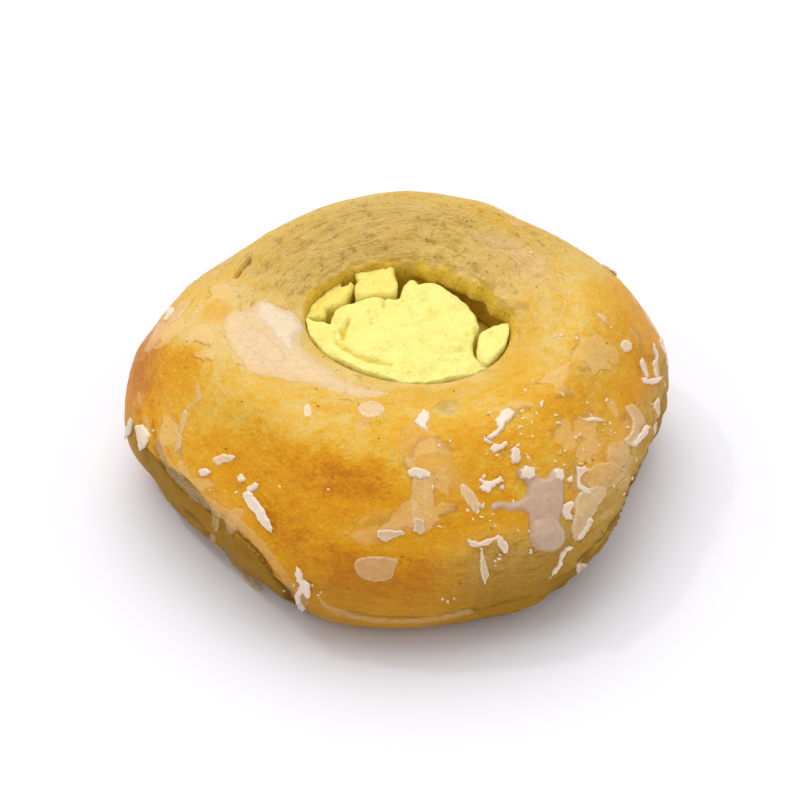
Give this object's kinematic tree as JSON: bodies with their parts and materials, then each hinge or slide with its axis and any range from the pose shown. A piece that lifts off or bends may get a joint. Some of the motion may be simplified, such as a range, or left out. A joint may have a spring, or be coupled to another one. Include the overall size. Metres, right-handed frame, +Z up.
{
  "type": "custard danish",
  "caption": "Round laminated bun with a sunken middle filled with broken custard, a soft ledge of dough low on its side and dried white icing in flakes and drops.",
  "frame": {"origin": "middle of the bun's outline, on the surface it stands on", "axes": "+Z up, -Y towards the side the picture shows nearest, +X to the picture's right"},
  "size_m": [0.1042, 0.1019, 0.0402],
  "materials": {
    "crust": "baked egg-washed dough, satin with glossy patches of thin icing",
    "custard": "baked custard, softly uneven, faint sheen",
    "icing": "dried sugar icing, satin, slightly see-through where thin"
  },
  "bodies": {
    "root": {"bun": "crust", "custard": "custard", "custard_back": "custard", "custard_left": "custard", "custard_crumb": "custard"}
  },
  "joints": []
}
